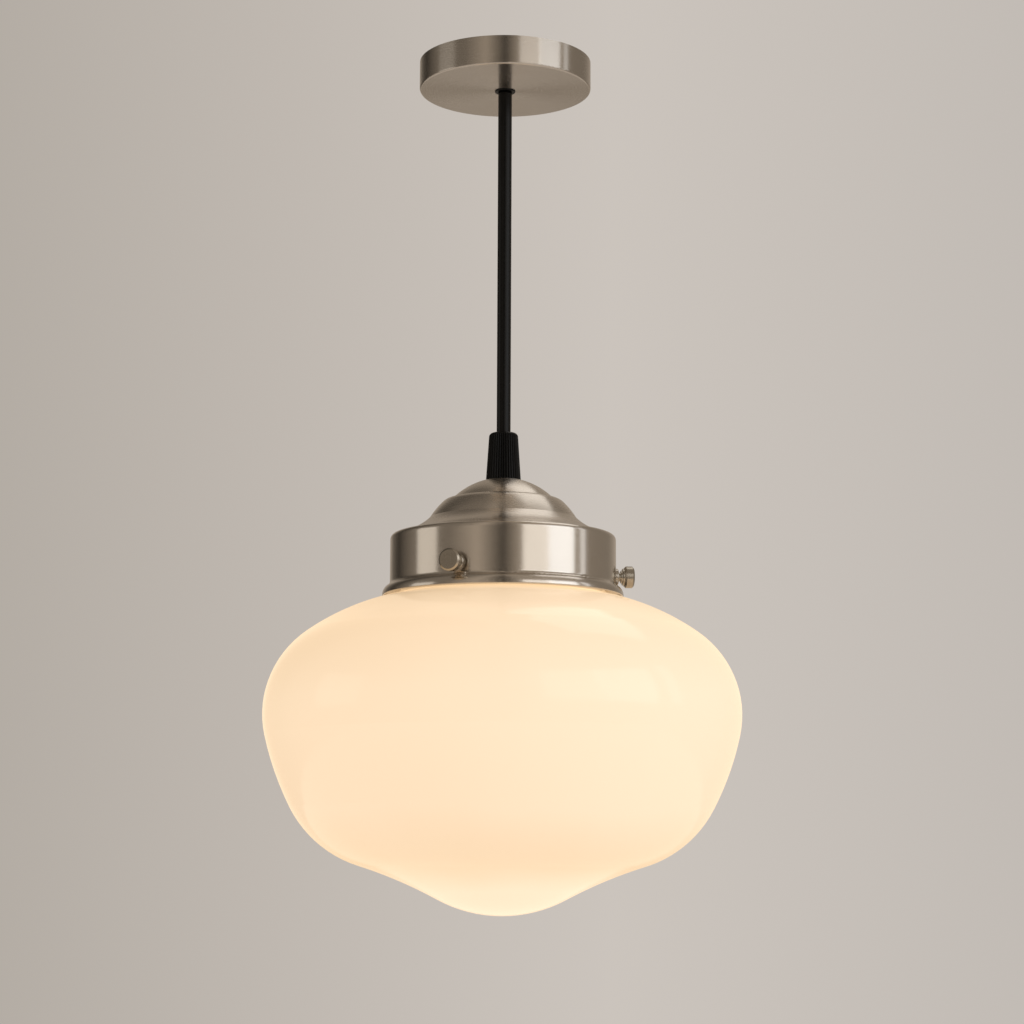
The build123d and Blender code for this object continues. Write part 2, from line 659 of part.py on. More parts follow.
def fitter():
    """The stepped dome, the straight wall and the flared lip, spun from one sheet."""
    start, slope, bends = fitter_bends()
    outer, outer_end = run_of_bends(start, slope, bends)
    inner, inner_end = run_of_bends(start, slope, bends, inset=-FITTER_WALL)
    hole = NIPPLE_RADIUS + FITTER_HOLE_GAP
    inner_start = run_of_bends(start, slope, [], inset=-FITTER_WALL)[1]
    rim = run_of_bends(outer_end, -UPRIGHT, [(FITTER_WALL / 2, -3 * UPRIGHT)])[0]
    edges = joined([(hole, SEAT), start]) + outer + rim + inner
    edges += joined([inner_start, (inner_start[0], SEAT_UNDER), (hole, SEAT_UNDER), (hole, SEAT)])
    shell = spin(edges)
    for angle in SCREW_ANGLES.values():
        shell -= radial(angle, across(BOSS_SPIGOT + THREAD_GAP, FITTER_INNER - CUT, FITTER_RADIUS + CUT,
                                      z=SCREW_Z))
    return shell


def screw_bosses():
    """Three threaded collars, riveted through the fitter's wall."""
    bosses = []
    for angle in SCREW_ANGLES.values():
        collar = across(BOSS_RADIUS, FITTER_INNER, FITTER_RADIUS + BOSS_THICK, z=SCREW_Z)
        rim = collar.edges().filter_by(GeomType.CIRCLE).sort_by(Axis.X)[-1]
        collar = fillet(rim, BOSS_EDGE)
        collar -= rod(FITTER_RADIUS + THREAD_GAP, SCREW_Z + 2 * BOSS_RADIUS, SCREW_Z - 2 * BOSS_RADIUS)
        boss = collar + across(BOSS_SPIGOT, FITTER_INNER - SPIGOT_INSIDE, FITTER_RADIUS + CUT, z=SCREW_Z)
        bore = across(SCREW_SHANK + RUNNING_GAP, FITTER_INNER - SPIGOT_INSIDE - CUT,
                      FITTER_RADIUS + BOSS_THICK + CUT, z=SCREW_Z)
        bosses.append(radial(angle, boss - bore))
    return group(bosses)


def thumb_screw(angle):
    """One thumb screw: plain shank, a neck, and a flat round head with two steps behind it."""
    neck_start = FITTER_RADIUS + BOSS_THICK + SCREW_NECK_GAP
    head_start = SCREW_FACE - SCREW_HEAD_THICK
    shank = across(SCREW_SHANK, SCREW_TIP, head_start, z=SCREW_Z)
    tip = shank.edges().filter_by(GeomType.CIRCLE).sort_by(Axis.X)[0]
    shank = chamfer(tip, SCREW_POINT)
    neck = across(SCREW_NECK, neck_start, head_start, z=SCREW_Z)
    head = across(SCREW_HEAD, head_start, SCREW_FACE, z=SCREW_Z)
    head = chamfer(head.edges().filter_by(GeomType.CIRCLE), SCREW_CHAMFER)
    middle = SCREW_FACE - SCREW_HEAD_THICK / 2
    back = across(SCREW_RING, head_start - SCREW_STEP, middle, z=SCREW_Z)
    back += across(SCREW_COLLAR, head_start - 2 * SCREW_STEP, middle, z=SCREW_Z)
    return radial(angle, shank + neck + back + head)


# Glass shade

def glass_bends():
    """The shade's outer face from the tip to the straight neck."""
    belly = [(NUB_RADIUS, NUB_SLOPE), (REVERSE_RADIUS, REVERSE_SLOPE), (CORNER_RADIUS, CORNER_SLOPE),
             (FLANK_RADIUS, FLANK_SLOPE), (BELLY_RADIUS, BELLY_SLOPE)]
    end = run_of_bends((0, 0), 0, belly)[1]
    middle = end[0] - SHOULDER_RADIUS * math.sin(math.radians(BELLY_SLOPE))
    sine = (NECK_RADIUS + NECK_FILLET - middle) / (SHOULDER_RADIUS + NECK_FILLET)
    meets = 180 - math.degrees(math.asin(sine))
    return belly + [(SHOULDER_RADIUS, meets), (NECK_FILLET, UPRIGHT)]


def glass_shade():
    """The blown opal shade, open at its neck, with a bead that stands on the thumb screws."""
    bends = glass_bends()
    tip = NECK_FOOT - run_of_bends((0, 0), 0, bends)[1][1]
    outer, neck = run_of_bends((0, tip), 0, bends)
    inner, inner_neck = run_of_bends((0, tip), 0, bends, inset=GLASS_WALL)
    flat = BEAD_RADIUS - BEAD_EDGE
    bead, bead_end = run_of_bends((flat, BEAD_UNDER), 0, [(BEAD_EDGE, UPRIGHT)])
    crown, crown_end = run_of_bends((BEAD_RADIUS, BEAD_TOP - BEAD_EDGE), UPRIGHT, [(BEAD_EDGE, 2 * UPRIGHT)])
    inside = NECK_RADIUS - GLASS_WALL
    edges = outer + joined([neck, (NECK_RADIUS, BEAD_UNDER), (flat, BEAD_UNDER)]) + bead
    edges += joined([bead_end, (BEAD_RADIUS, BEAD_TOP - BEAD_EDGE)]) + crown
    edges += joined([crown_end, (inside, BEAD_TOP), inner_neck]) + inner
    edges += joined([(0, tip + GLASS_WALL), (0, tip)])
    return spin(edges)


# Lampholder

def holder_cap():
    """The metal cap that screws onto the hollow thread, with a boss for it inside."""
    r = HOLDER_CAP_RADIUS
    spigot = r - HOLDER_WALL - THREAD_GAP
    thread = NIPPLE_RADIUS + THREAD_GAP
    boss = NIPPLE_RADIUS + HOLDER_BOSS_WALL
    inside = spigot - HOLDER_WALL
    boss_end = NIPPLE_END + HOLDER_BOSS_END
    crown = HOLDER_TOP - HOLDER_CROWN
    under_crown = HOLDER_TOP - HOLDER_CROWN_WALL
    return spin_points([(thread, HOLDER_TOP), (boss, HOLDER_TOP), (r, crown), (r, SKIRT_TOP),
                        (spigot, SKIRT_TOP), (spigot, CAP_BOTTOM), (inside, CAP_BOTTOM),
                        (inside, crown - HOLDER_CROWN_WALL / 3), (boss + HOLDER_BOSS_STEP, under_crown),
                        (boss, under_crown), (boss, boss_end), (thread, boss_end)])


def holder_insert():
    """The ceramic core: a flange clamped between cap and skirt, and a plug for the shell."""
    flange = HOLDER_CAP_RADIUS - HOLDER_WALL - THREAD_GAP
    plug = SHELL_RADIUS - THREAD_GAP
    shelf = INSERT_TOP - INSERT_FLANGE
    return spin_points([(0, INSERT_TOP), (flange, INSERT_TOP), (flange, shelf), (plug, shelf),
                        (plug, INSERT_UNDER), (0, INSERT_UNDER)])


def holder_skirt():
    """The outer sleeve that screws onto the cap and holds the ceramic core up."""
    r = HOLDER_CAP_RADIUS
    inner = r - HOLDER_WALL
    shelf = INSERT_TOP - INSERT_FLANGE - THREAD_GAP
    nose = SKIRT_BOTTOM + HOLDER_NOSE_LENGTH
    step = inner - SKIRT_STEP
    return spin_points([(inner, SKIRT_TOP), (r, SKIRT_TOP), (r, nose), (HOLDER_NOSE, SKIRT_BOTTOM),
                        (HOLDER_NOSE - HOLDER_WALL, SKIRT_BOTTOM), (step, nose), (step, shelf), (inner, shelf)])


def screw_shell():
    """The thin threaded shell that the bulb's cap turns in."""
    outer = SHELL_RADIUS + SHELL_WALL
    low = SHELL_TOP - SHELL_LENGTH
    shell = tube(outer, SHELL_RADIUS, SHELL_TOP, low)
    return shell + tube(outer + SHELL_LIP, SHELL_RADIUS, low + SHELL_WALL, low)


def centre_contact():
    """The brass contact under the ceramic core that meets the bulb's tip."""
    strip = Pos(0, 0, INSERT_UNDER - CONTACT_THICK / 2) * Box(CONTACT_LENGTH, CONTACT_WIDTH, CONTACT_THICK)
    return strip + rod(CONTACT_BUTTON, INSERT_UNDER - CONTACT_THICK / 2, BULB_TIP + THREAD_GAP)


def holder_terminals():
    """Three brass clamps on the ceramic core, one for each core of the flex."""
    middle = INSERT_TOP + TERMINAL_SIZE / 2
    block = Pos(TERMINAL_OUT, 0, middle) * Box(TERMINAL_LENGTH, TERMINAL_SIZE, TERMINAL_SIZE)
    block -= across(CORE_RADIUS + THREAD_GAP, 0, TERMINAL_OUT + TERMINAL_HOLE_PAST, z=middle)
    block -= rod(TERMINAL_SCREW_RADIUS + THREAD_GAP, INSERT_TOP + TERMINAL_SIZE + CUT, middle, TERMINAL_OUT)
    return group(radial(angle, block) for angle in CORES.values())


def holder_terminal_screws():
    """The three screws that clamp the cores, driven from above."""
    low = INSERT_TOP + TERMINAL_SIZE / 2 + CORE_RADIUS + THREAD_GAP
    top = INSERT_TOP + TERMINAL_SIZE + TERMINAL_SCREW_PROUD
    screw = rod(TERMINAL_SCREW_RADIUS, top, low, TERMINAL_OUT)
    screw -= Pos(TERMINAL_OUT, 0, top) * Box(TERMINAL_SLOT, 4 * TERMINAL_SCREW_RADIUS, 2 * TERMINAL_SLOT_DEPTH)
    return group(radial(angle, screw) for angle in CORES.values())


def core_at_holder(name):
    """One core from the sheath's end, down the hollow thread and out to its clamp."""
    x, y = core_place(name)
    level = INSERT_TOP + TERMINAL_SIZE / 2
    a = math.radians(CORES[name])
    out = TERMINAL_OUT + CORE_IN_TERMINAL
    return core([(x, y, SHEATH_END), (x, y, level), (out * math.cos(a), out * math.sin(a), level)], CORE_BEND)


# Bulb

def bulb_bends():
    """The bulb's outer face from its bottom to the straight neck."""
    sine = (BULB_NECK_RADIUS + BULB_NECK_CURVE) / (BULB_GLOBE_RADIUS + BULB_NECK_CURVE)
    return [(BULB_GLOBE_RADIUS, 180 - math.degrees(math.asin(sine))), (BULB_NECK_CURVE, UPRIGHT)]


def bulb_glass():
    """The frosted envelope, open at its neck inside the cap."""
    outer, neck = run_of_bends((0, BULB_BOTTOM), 0, bulb_bends())
    inner, inner_neck = run_of_bends((0, BULB_BOTTOM), 0, bulb_bends(), inset=BULB_WALL)
    inside = BULB_NECK_RADIUS - BULB_WALL
    rim = joined([neck, (BULB_NECK_RADIUS, BULB_NECK_TOP), (inside, BULB_NECK_TOP), inner_neck])
    edges = outer + rim + inner
    return spin(edges + joined([(0, BULB_BOTTOM + BULB_WALL), (0, BULB_BOTTOM)]))


def bulb_cap():
    """The threaded metal cap of the bulb, with rounded thread crests."""
    crest = BULB_CAP_RADIUS
    root = crest - BULB_THREAD_DEPTH
    inside = root - BULB_CAP_WALL
    flare = BULB_CAP_BOTTOM + BULB_CAP_FLARE
    outline = [(crest, BULB_CAP_BOTTOM), (root, flare)]
    for turn in range(BULB_THREADS):
        middle = BULB_CAP_BOTTOM + BULB_THREAD_START + (turn + 0.5) * BULB_THREAD_PITCH
        outline += [(root, middle - BULB_THREAD_PITCH / 4), (crest, middle - BULB_CREST / 2),
                    (crest, middle + BULB_CREST / 2), (root, middle + BULB_THREAD_PITCH / 4)]
    outline += [(root, BULB_CAP_TOP), (inside, BULB_CAP_TOP), (inside, flare),
                (crest - BULB_CAP_WALL, BULB_CAP_BOTTOM)]
    return spin_points(outline)


def bulb_insulator():
    """The black ring between the bulb's cap and its tip."""
    wide = BULB_CAP_RADIUS - BULB_THREAD_DEPTH
    inside = wide - BULB_CAP_WALL
    top = BULB_TIP - TIP_THICK
    low = BULB_CAP_TOP - INSULATOR_RIM
    return spin_points([(0, top), (TIP_RADIUS + TIP_BORDER, top), (wide, BULB_CAP_TOP),
                        (inside, BULB_CAP_TOP), (inside, low), (0, low)])


def bulb_contact():
    """The bulb's brass tip."""
    tip = rod(TIP_RADIUS, BULB_TIP, BULB_TIP - TIP_THICK)
    rim = tip.edges().filter_by(GeomType.CIRCLE).group_by(Axis.Z)[-1]
    return fillet(rim, TIP_EDGE)


def bulb_stem():
    """The glass stem that closes the neck and holds up the light strips."""
    inside = BULB_NECK_RADIUS - BULB_WALL - THREAD_GAP
    slim = FILAMENT_TOP + FILAMENT_PLATE + STEM_SLIM
    low = FILAMENT_TOP - FILAMENT_LENGTH - 2 * FILAMENT_PLATE
    return spin_points([(0, BULB_NECK_TOP), (inside, BULB_NECK_TOP), (inside, BULB_NECK_TOP - STEM_PRESS),
                        (STEM_FLARE, BULB_NECK_TOP - STEM_SHOULDER), (STEM_RADIUS, slim), (STEM_RADIUS, low),
                        (0, low)])


def filament_plates():
    """Two thin metal discs on the stem, one at each end of the light strips."""
    low = FILAMENT_TOP - FILAMENT_LENGTH
    radius = FILAMENT_CIRCLE + FILAMENT_RADIUS
    bore = STEM_RADIUS + THREAD_GAP
    return group([tube(radius, bore, FILAMENT_TOP + FILAMENT_PLATE, FILAMENT_TOP),
                  tube(radius, bore, low, low - FILAMENT_PLATE)])


def light_strips():
    """The glowing strips that stand between the two discs."""
    strip = rod(FILAMENT_RADIUS, FILAMENT_TOP, FILAMENT_TOP - FILAMENT_LENGTH, FILAMENT_CIRCLE)
    return group(Rot(0, 0, i * 360 / FILAMENTS) * strip for i in range(FILAMENTS))


NODES = {
    "fixing_strap": fixing_strap,
    "rose_cup": rose_cup,
    "rose_side_screws": rose_side_screws,
    "cord_grommet": cord_grommet,
    "cord_collar": cord_collar,
    "collar_screw": collar_screw,
    "terminal_block": terminal_block,
    "terminal_sleeves": terminal_sleeves,
    "terminal_screws": terminal_screws,
    "block_screw": block_screw,
    "earth_ring": earth_ring,
    "earth_screw": earth_screw,
    "flex_top": flex_top,
    "flex_bend": flex_bend,
    "flex": flex,
    "grip_cap": grip_cap,
    "grip_collet": grip_collet,
    "grip_base": grip_base,
    "nipple": nipple,
    "fitter": fitter,
    "spring_washer": spring_washer,
    "lock_nut": lock_nut,
    "screw_bosses": screw_bosses,
    "glass_shade": glass_shade,
    "holder_cap": holder_cap,
    "holder_insert": holder_insert,
    "holder_skirt": holder_skirt,
    "screw_shell": screw_shell,
    "centre_contact": centre_contact,
    "holder_terminals": holder_terminals,
    "holder_terminal_screws": holder_terminal_screws,
    "bulb_glass": bulb_glass,
    "bulb_cap": bulb_cap,
    "bulb_insulator": bulb_insulator,
    "bulb_contact": bulb_contact,
    "bulb_stem": bulb_stem,
    "filament_plates": filament_plates,
    "light_strips": light_strips,
}

for node, make in NODES.items():
    save(node, make())
for side, angle in SCREW_ANGLES.items():
    save(f"thumb_screw_{side}", thumb_screw(angle))
for name in CORES:
    save(f"{name}_core_at_rose", core_at_rose(name))
    save(f"{name}_core_at_holder", core_at_holder(name))
print("cores bend at", CORE_BEND, "mm; the flex is straight,", FLEX_DROP, "mm of it in the open")
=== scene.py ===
# %% [markdown]
# # A glass pendant light
# The lamp hangs from a small metal rose on one black flex. A ribbed cord grip holds a stepped,
# brushed-metal fitter, and three thumb screws in the fitter's wall carry a wide opal glass shade
# that glows from the bulb inside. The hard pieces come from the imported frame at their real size.
# This lesson gives them their finishes, makes the flex, and lights the lamp.

# %% Load the frame
import math

import bpy
from mathutils import Matrix, Vector


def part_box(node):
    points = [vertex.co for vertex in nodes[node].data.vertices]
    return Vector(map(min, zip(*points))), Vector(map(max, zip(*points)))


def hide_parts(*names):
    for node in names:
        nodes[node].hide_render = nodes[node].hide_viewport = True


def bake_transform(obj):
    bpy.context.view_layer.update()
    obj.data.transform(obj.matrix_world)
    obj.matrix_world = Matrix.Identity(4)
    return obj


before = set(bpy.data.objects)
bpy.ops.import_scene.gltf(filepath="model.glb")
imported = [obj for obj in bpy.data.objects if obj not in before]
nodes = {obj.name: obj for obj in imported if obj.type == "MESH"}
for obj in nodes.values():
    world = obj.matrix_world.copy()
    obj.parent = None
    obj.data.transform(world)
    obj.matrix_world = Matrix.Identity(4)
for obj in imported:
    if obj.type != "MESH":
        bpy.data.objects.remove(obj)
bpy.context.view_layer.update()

# %% [markdown]
# ## The camera
# The photograph was taken from a little below the shade with a long lens, so the fitter's steps
# stay almost level and the rose shows its underside. The eye stands 1.41 m away and looks 8.5
# degrees up. A short lens nearer the lamp would make its upright lines lean together, so the focal
# length matters as much as the place. The hand that held the camera let it lean a fifth of a
# degree, which shows along the flex. The plain view transform keeps a lit lamp's warm white as
# warm as it was painted; the filmic one would fade it to grey.

# %% Camera
EYE = Vector((0.005, -1.4072, -0.4767))
EYE_LENS = 87.6
EYE_SENSOR = 36.0
EYE_LOOKS_UP = 8.493
EYE_LEANS = 0.229

eye_data = bpy.data.cameras.new("Eye")
eye_data.lens = EYE_LENS
eye_data.sensor_width = EYE_SENSOR
eye = bpy.data.objects.new("Eye", eye_data)
eye.location = EYE
level = Matrix.Rotation(math.radians(90 + EYE_LOOKS_UP), 3, "X")
eye.rotation_euler = (level @ Matrix.Rotation(math.radians(EYE_LEANS), 3, "Z")).to_euler()
bpy.context.scene.collection.objects.link(eye)
bpy.context.scene.camera = eye
bpy.context.scene.view_settings.view_transform = "Standard"
print("the eye is", round(EYE.length, 3), "m from the ceiling fixing")

# %% [markdown]
# ## The flex
# A taut flex is the simplest cord there is: a straight line under load. It runs from the grommet in
# the rose down into the cord grip. It could stay as the two plain solids of the frame, but they
# part when the lamp swings. One tube with many rings can bend between the two bodies, so the tube
# follows a smooth route. The route comes first: a smooth line through four places, one of them a
# little way up the straight drop.

# %% Flex route
FLEX_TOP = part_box("flex_bend")[1][2]
BEND_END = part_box("flex_bend")[0][2]
FLEX_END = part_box("flex")[0][2]
FLEX_STEPS = 90
ROUTE_ORDER = 3
KNOT_SHARE = 0.4


def straight_route(name, places):
    """The points of a smooth open line through a few chosen places."""
    data = bpy.data.curves.new(name, "CURVE")
    data.dimensions = "3D"
    spline = data.splines.new("NURBS")
    spline.points.add(len(places) - 1)
    for knot, place in zip(spline.points, places):
        knot.co = (*place, 1.0)
    spline.order_u = ROUTE_ORDER
    spline.use_endpoint_u = True
    spline.resolution_u = FLEX_STEPS // (len(places) - 1)
    line = bpy.data.objects.new(name, data)
    bpy.context.scene.collection.objects.link(line)
    mesh = bpy.data.meshes.new_from_object(line)
    points = [v.co.copy() for v in mesh.vertices]
    bpy.data.objects.remove(line)
    return points


knot_height = FLEX_END * (1 - KNOT_SHARE) + FLEX_TOP * KNOT_SHARE
heights = (FLEX_END, knot_height, BEND_END, FLEX_TOP)
route = straight_route("flex_route", [(0, 0, height) for height in heights])
print("the flex is", round(FLEX_TOP - FLEX_END, 4), "m long in", len(route), "rings")

# %% [markdown]
# The tube is a ring of points round each place of the route. It takes the place of the two solids.

# %% Flex tube
FLEX_RADIUS = 0.004
FLEX_SIDES = 40


def upright_tube(name, points, radius, sides):
    """A closed tube of rings round an upright line."""
    verts = []
    for p in points:
        for i in range(sides):
            a = 2 * math.pi * i / sides
            verts.append((p.x + radius * math.cos(a), p.y + radius * math.sin(a), p.z))
    faces = [tuple(reversed(range(sides)))]
    for ring in range(len(points) - 1):
        for i in range(sides):
            j = (i + 1) % sides
            a = ring * sides
            faces.append((a + i, a + j, a + sides + j, a + sides + i))
    last = (len(points) - 1) * sides
    faces.append(tuple(last + i for i in range(sides)))
    mesh = bpy.data.meshes.new(name)
    mesh.from_pydata(verts, [], faces)
    mesh.shade_smooth()
    tube = bpy.data.objects.new(name, mesh)
    bpy.context.scene.collection.objects.link(tube)
    return tube


sheath = upright_tube("flex_sheath", route, FLEX_RADIUS, FLEX_SIDES)
route.reverse()
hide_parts("flex_bend", "flex")
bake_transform(sheath)
print("the sheath has", len(sheath.data.vertices), "points and", len(sheath.data.polygons), "faces")

# %% [markdown]
# ## Small tools for finishes
# A finish here is a shader whose colour, roughness and fine relief come from noise placed in the
# piece's own metres. The first helpers start a material, add a node with its settings, join two
# sockets, and reckon with them.

# %% Helpers that build shaders
def start_finish(name):
    """A new material and the shader that ends it."""
    finish = bpy.data.materials.new(name)
    finish.use_nodes = True
    return finish, finish.node_tree.nodes["Principled BSDF"]


def add(finish, kind, settings=None, **values):
    """A node of one kind; settings are its options, and values fill its sockets."""
    made = finish.node_tree.nodes.new("ShaderNode" + kind)
    for option, value in (settings or {}).items():
        setattr(made, option, value)
    for socket, value in values.items():
        made.inputs[socket.replace("_", " ")].default_value = value
    return made


def join(finish, out, into):
    """A link from one socket to another."""
    finish.node_tree.links.new(out, into)


def reckon(finish, operation, *terms):
    """One step of arithmetic on sockets or plain numbers."""
    made = add(finish, "Math", {"operation": operation})
    for socket, term in zip(made.inputs, terms):
        if isinstance(term, (int, float)):
            socket.default_value = term
        else:
            join(finish, term, socket)
    return made.outputs[0]


def own_metres(finish):
    """Places on the piece, in metres, which stay with it as it moves."""
    return add(finish, "TexCoord").outputs["Object"]


def own_parts(finish):
    """The same places as three sockets: x, y and z."""
    parts = add(finish, "SeparateXYZ")
    join(finish, own_metres(finish), parts.inputs[0])
    return parts.outputs


def wear(node_names, finish):
    """Puts one finish on several nodes of the frame."""
    for name in node_names:
        slots = nodes[name].data.materials
        slots.clear()
        slots.append(finish)
    print(finish.name, "is worn by", ", ".join(node_names))


print("shader helpers:", [tool.__name__ for tool in (start_finish, add, join, reckon, own_parts, wear)])

# %% [markdown]
# Noise seldom reaches 0 or 1. Most of it lies between 0.3 and 0.7, so the next helpers spread that
# middle between two colours or two roughnesses, or raise it as fine relief.

# %% Helpers that use noise
NOISE_LOW = 0.3
NOISE_HIGH = 0.7


def noise(finish, where, scale, detail=3.0, roughness=0.5):
    """Noise at places given by a socket."""
    made = add(finish, "TexNoise", Scale=scale, Detail=detail, Roughness=roughness)
    join(finish, where, made.inputs["Vector"])
    return made.outputs["Fac"]


def stops(finish, factor, marks):
    """A colour ramp from a factor; each mark is a place and a colour."""
    ramp = add(finish, "ValToRGB")
    band = ramp.color_ramp
    while len(band.elements) < len(marks):
        band.elements.new(0.5)
    for element, (place, colour) in zip(band.elements, marks):
        element.position = place
        element.color = (*colour, 1.0)
    join(finish, factor, ramp.inputs["Fac"])
    return ramp.outputs["Color"]


def two_tones(finish, factor, deep, pale):
    """A noise's useful middle, spread between two colours."""
    return stops(finish, factor, [(NOISE_LOW, deep), (NOISE_HIGH, pale)])


def spread(finish, factor, low, high):
    """A noise's useful middle, spread between two values."""
    made = add(finish, "MapRange", {"clamp": True},
               From_Min=NOISE_LOW, From_Max=NOISE_HIGH, To_Min=low, To_Max=high)
    join(finish, factor, made.inputs["Value"])
    return made.outputs["Result"]


def relief(finish, shader, height, depth, strength):
    """Fine relief on the shader from a height between 0 and 1, its depth in metres."""
    bump = add(finish, "Bump", Strength=strength, Distance=depth)
    join(finish, height, bump.inputs["Height"])
    join(finish, bump.outputs["Normal"], shader.inputs["Normal"])


def dimmed(colour, share):
    """A share of a colour."""
    return tuple(share * part for part in colour)


print("noise helpers:", [tool.__name__ for tool in (noise, stops, two_tones, spread, relief, dimmed)])

# %% [markdown]
# ## Brushed nickel, spun
# The rose and the fitter are spun from sheet steel on a lathe, polished with a fine abrasive while
# they turn, and plated in warm nickel. The tool leaves thousands of fine rings. Straight noise would
# look like scratches across them, so the noise is read in ring coordinates: distance from the axis,
# height, and a little of the angle, which makes each scratch a long arc.

# %% Rings round the upright axis
RING_SCALE = 5200.0
RING_ARC = 0.0016
RING_DETAIL = 4.0
RING_ROUGHNESS = 0.62


def ring_noise(finish):
    """Noise drawn out into long arcs round the upright axis."""
    x, y, z = own_parts(finish)
    away = reckon(finish, "SQRT", reckon(finish, "ADD", reckon(finish, "MULTIPLY", x, x),
                                         reckon(finish, "MULTIPLY", y, y)))
    place = add(finish, "CombineXYZ")
    join(finish, away, place.inputs[0])
    join(finish, z, place.inputs[1])
    join(finish, reckon(finish, "MULTIPLY", reckon(finish, "DIVIDE", x, away), RING_ARC), place.inputs[2])
    rings = add(finish, "TexNoise", {"noise_dimensions": "4D"},
                Scale=RING_SCALE, Detail=RING_DETAIL, Roughness=RING_ROUGHNESS)
    join(finish, place.outputs[0], rings.inputs["Vector"])
    join(finish, reckon(finish, "MULTIPLY", reckon(finish, "DIVIDE", y, away), RING_ARC), rings.inputs["W"])
    return rings.outputs["Fac"]


print("ring scratches repeat about every", round(1000 / RING_SCALE, 2), "mm")

# %% [markdown]
# The shader's highlights are stretched across the rings too, which gives the upright bright bands
# on the wall of the fitter. A slow cloud in the roughness keeps the bands from looking ruled. The
# fitter's dome was polished less than its wall. The rose's plate colour is dimmed a little: painted
# shade, for the ceiling that would shade it.

# %% Spun nickel
NICKEL_DARK = (0.61, 0.56, 0.50)
NICKEL_BRIGHT = (0.69, 0.64, 0.58)
CLOUD_SCALE = 22.0
CLOUD_SPREAD = 0.02
PLATE_RELIEF = 0.00001
ACROSS_RINGS = 0.25
WALL_TOP = -0.279
DOME_FOOT = -0.272


def spun_nickel(name, smooth, rough, stretch, share=1.0, matte=0.0):
    """Nickel plate over spun steel, between two roughnesses, and more matte on the dome; share dims the
    colour as painted shade.
    """
    finish, shader = start_finish(name)
    rings = ring_noise(finish)
    cloud = noise(finish, own_metres(finish), CLOUD_SCALE)
    join(finish, two_tones(finish, rings, dimmed(NICKEL_DARK, share), dimmed(NICKEL_BRIGHT, share)),
         shader.inputs["Base Color"])
    middle = (smooth + rough) / 2
    mixed = reckon(finish, "ADD", spread(finish, rings, smooth - middle, rough - middle),
                   spread(finish, cloud, middle - CLOUD_SPREAD, middle + CLOUD_SPREAD))
    upper = add(finish, "MapRange", {"interpolation_type": "SMOOTHSTEP"},
                From_Min=WALL_TOP, From_Max=DOME_FOOT, To_Min=0.0, To_Max=matte)
    join(finish, own_parts(finish)[2], upper.inputs["Value"])
    join(finish, reckon(finish, "ADD", mixed, upper.outputs["Result"]), shader.inputs["Roughness"])
    relief(finish, shader, rings, PLATE_RELIEF, strength=0.15)
    tangent = add(finish, "Tangent", {"direction_type": "RADIAL", "axis": "Z"})
    join(finish, tangent.outputs[0], shader.inputs["Tangent"])
    shader.inputs["Metallic"].default_value = 1.0
    shader.inputs["Anisotropic"].default_value = stretch
    shader.inputs["Anisotropic Rotation"].default_value = ACROSS_RINGS
    return finish


wear(["fitter"], spun_nickel("spun_nickel_fitter", smooth=0.19, rough=0.25, stretch=0.75, matte=0.05))
# The rose's share of 0.85 is painted shade from a ceiling.
wear(["rose_cup"], spun_nickel("spun_nickel_rose", smooth=0.23, rough=0.28, stretch=0.88, share=0.85))

# %% [markdown]
# ## Turned nickel for the thumb screws
# Each thumb screw is turned from bar, so its rings run round its own axis, which points out of the
# fitter at its own angle. The same kind of noise works once places are measured along that axis and
# away from it.

# %% Thumb screws
SCREW_ANGLES = {"left": 247.0, "right": 7.0, "rear": 127.0}
SCREW_HEIGHT = (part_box("thumb_screw_left")[0][2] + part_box("thumb_screw_left")[1][2]) / 2
STEEL_DARK = (0.36, 0.325, 0.27)
STEEL_BRIGHT = (0.50, 0.455, 0.39)
TURNED_SCALE = 6000.0


def turned_nickel(name, angle):
    """Plated bar stock turned about an axis that leaves the wall at an angle."""
    finish, shader = start_finish(name)
    way = (math.cos(math.radians(angle)), math.sin(math.radians(angle)), 0.0)
    from_axis = add(finish, "VectorMath", {"operation": "SUBTRACT"})
    from_axis.inputs[1].default_value = (0.0, 0.0, SCREW_HEIGHT)
    join(finish, own_metres(finish), from_axis.inputs[0])
    along = add(finish, "VectorMath", {"operation": "DOT_PRODUCT"})
    along.inputs[1].default_value = way
    join(finish, from_axis.outputs[0], along.inputs[0])
    on_axis = add(finish, "VectorMath", {"operation": "SCALE"})
    on_axis.inputs[0].default_value = way
    join(finish, along.outputs["Value"], on_axis.inputs["Scale"])
    off = add(finish, "VectorMath", {"operation": "DISTANCE"})
    join(finish, from_axis.outputs[0], off.inputs[0])
    join(finish, on_axis.outputs[0], off.inputs[1])
    place = add(finish, "CombineXYZ")
    join(finish, off.outputs["Value"], place.inputs[0])
    join(finish, along.outputs["Value"], place.inputs[1])
    rings = noise(finish, place.outputs[0], TURNED_SCALE)
    join(finish, two_tones(finish, rings, STEEL_DARK, STEEL_BRIGHT), shader.inputs["Base Color"])
    join(finish, spread(finish, rings, low=0.22, high=0.32), shader.inputs["Roughness"])
    relief(finish, shader, rings, PLATE_RELIEF, strength=0.25)
    shader.inputs["Metallic"].default_value = 1.0
    return finish


for side, angle in SCREW_ANGLES.items():
    wear([f"thumb_screw_{side}"], turned_nickel(f"turned_nickel_{side}", angle))
print("thumb screws stand at z", round(SCREW_HEIGHT, 4), "m")
